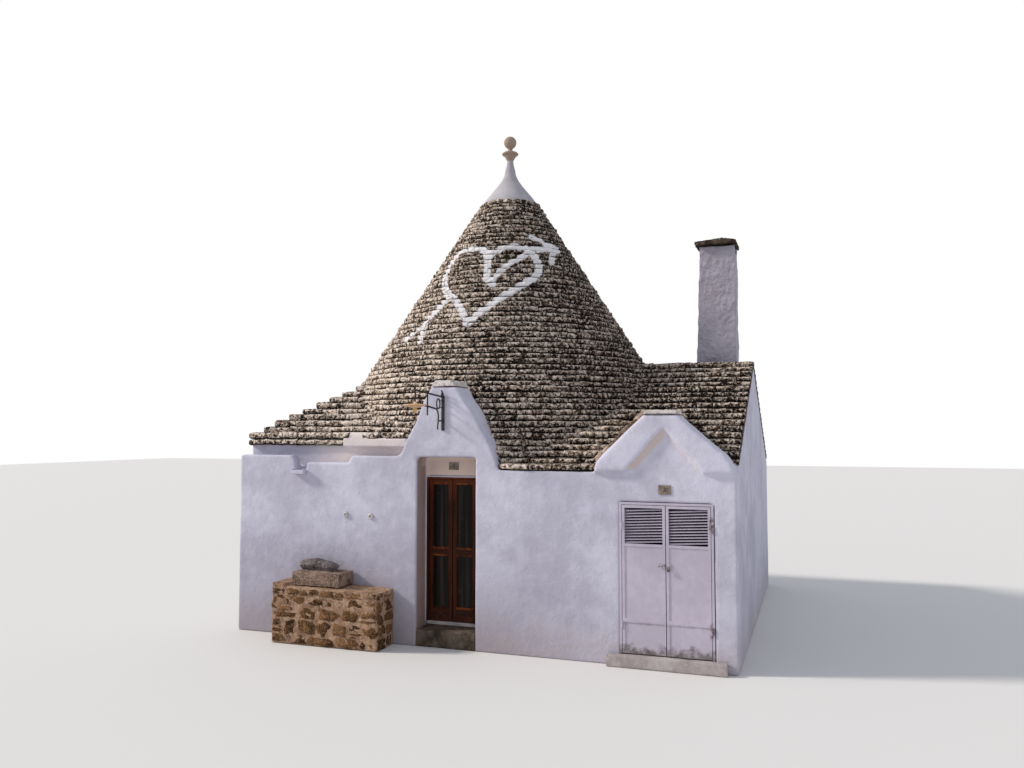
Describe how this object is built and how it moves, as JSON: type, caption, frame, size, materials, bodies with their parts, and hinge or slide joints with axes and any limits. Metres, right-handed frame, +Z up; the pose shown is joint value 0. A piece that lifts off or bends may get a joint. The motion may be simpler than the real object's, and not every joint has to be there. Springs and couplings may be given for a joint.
{
  "type": "trullo house",
  "caption": "Whitewashed limestone trullo with a dry-stone cone roof, recessed double door, store room with steel doors and chimney.",
  "frame": {"origin": "on the axis of the cone roof, at the lowest ground level, which is the underside of the floor", "axes": "+X to the right along the street front, +Y from the street into the house, +Z up"},
  "size_m": [6.83, 7.166, 7.7112],
  "materials": {
    "lime_plaster": "matt limewash over masonry",
    "roof_slabs": "rough weathered limestone slabs with lichen",
    "limestone": "rough sawn limestone",
    "rubble_masonry": "rubble stone in light mortar",
    "varnished_wood": "red-brown varnish",
    "glass": "clear glass with a net curtain behind",
    "painted_steel": "weathered white paint",
    "wrought_iron": "black paint",
    "enamel": "aged cream enamel",
    "glazed_ceramic": "glazed"
  },
  "bodies": {
    "house": {"floors": "limestone", "front_wall_left": "lime_plaster", "front_wall_middle": "lime_plaster", "lintels": "lime_plaster", "left_party_wall": "lime_plaster", "dividing_wall": "lime_plaster", "right_party_wall": "lime_plaster", "rear_wall": "lime_plaster", "corner_squinches": "lime_plaster", "eaves_wall": "lime_plaster", "inner_dome": "lime_plaster", "roof_cone_lower": "roof_slabs", "roof_cone_middle": "roof_slabs", "roof_cone_upper": "roof_slabs", "roof_skirt": "roof_slabs", "cone_cap": "lime_plaster", "pinnacle": "lime_plaster", "parapets": "lime_plaster", "rain_spout": "limestone", "entrance_gable": "lime_plaster", "store_gable": "lime_plaster", "gable_caps": "lime_plaster", "saddle_roofs": "roof_slabs", "store_roof": "roof_slabs", "store_vault": "lime_plaster", "chimney_stack": "lime_plaster", "chimney_cap": "roof_slabs", "steps": "limestone", "entrance_frame": "varnished_wood", "store_frame": "painted_steel", "lamp_bracket": "wrought_iron", "lamp_shade": "enamel", "number_plates": "limestone", "ceramic_fixtures": "glazed_ceramic", "stone_bench": "rubble_masonry", "bench_stones": "limestone"},
    "entrance_left": {"entrance_leaf_left": "varnished_wood", "entrance_glass_left": "glass"},
    "entrance_right": {"entrance_leaf_right": "varnished_wood", "entrance_glass_right": "glass"},
    "store_left": {"store_leaf_left": "painted_steel", "store_louvres_left": "painted_steel", "store_bolt": "painted_steel"},
    "store_right": {"store_leaf_right": "painted_steel", "store_louvres_right": "painted_steel"}
  },
  "joints": [
    {"name": "entrance_left_hinge", "type": "hinge", "parent": "house", "child": "entrance_left", "pos_m": [-0.151, -2.7275, 1], "axis": [0, 0, 1], "range_deg": [0, 90]},
    {"name": "entrance_right_hinge", "type": "hinge", "parent": "house", "child": "entrance_right", "pos_m": [0.533, -2.7275, 1], "axis": [0, 0, -1], "range_deg": [0, 90]},
    {"name": "store_left_hinge", "type": "hinge", "parent": "house", "child": "store_left", "pos_m": [2.531, -3.1085, 1], "axis": [0, 0, -1], "range_deg": [0, 110]},
    {"name": "store_right_hinge", "type": "hinge", "parent": "house", "child": "store_right", "pos_m": [3.579, -3.1085, 1], "axis": [0, 0, 1], "range_deg": [0, 110]}
  ]
}
